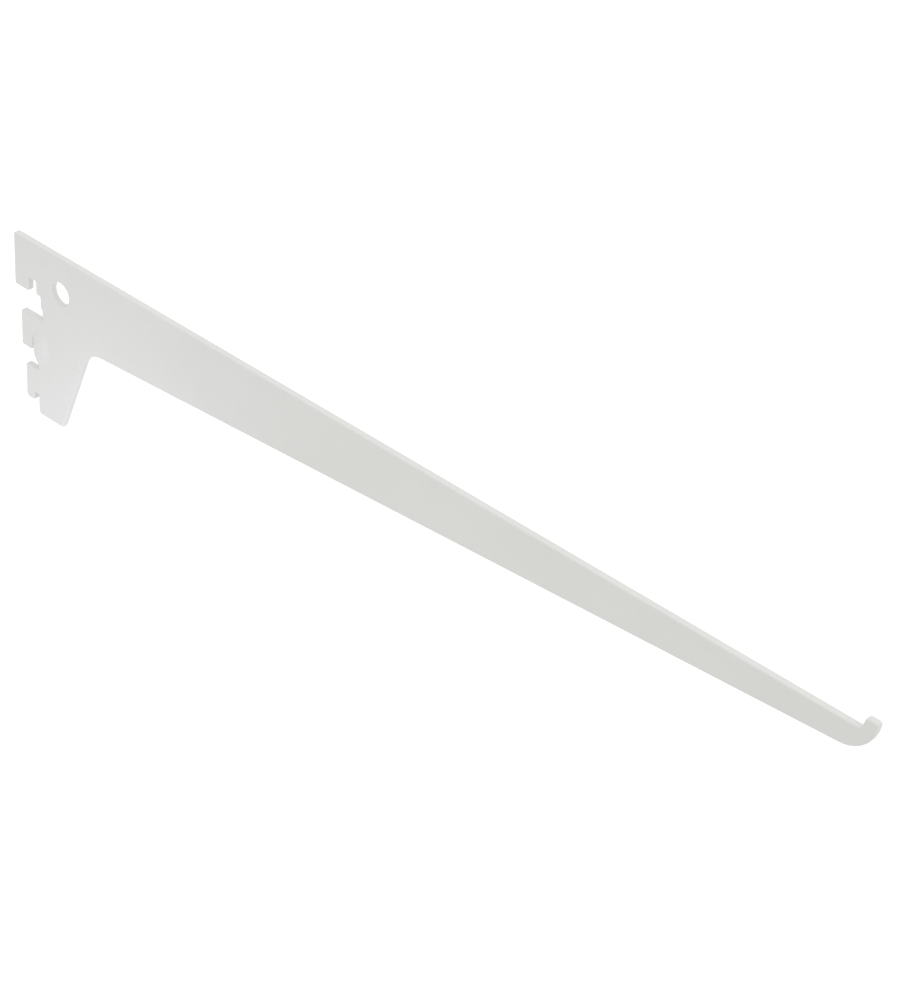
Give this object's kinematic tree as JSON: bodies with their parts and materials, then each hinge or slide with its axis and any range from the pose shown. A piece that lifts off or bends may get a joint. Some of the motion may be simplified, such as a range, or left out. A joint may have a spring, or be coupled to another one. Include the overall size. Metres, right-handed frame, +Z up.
{
  "type": "slotted shelf bracket",
  "caption": "Flat stamped steel bracket for a slotted wall rail: downward rail hooks, straight shelf edge, tapering arm and an upturned nose.",
  "frame": {"origin": "on the shelf edge, above the rail's face, at the middle of the sheet's thickness", "axes": "+X out from the rail along the arm, +Z up out of the shelf edge, Y through the sheet's thickness with the pressed bump on the -Y side"},
  "size_m": [0.4119, 0.0049, 0.08],
  "materials": {
    "powder_coat": "white powder coat, semi-matt, with a very fine orange peel"
  },
  "bodies": {
    "root": {"bracket": "powder_coat"}
  },
  "joints": []
}
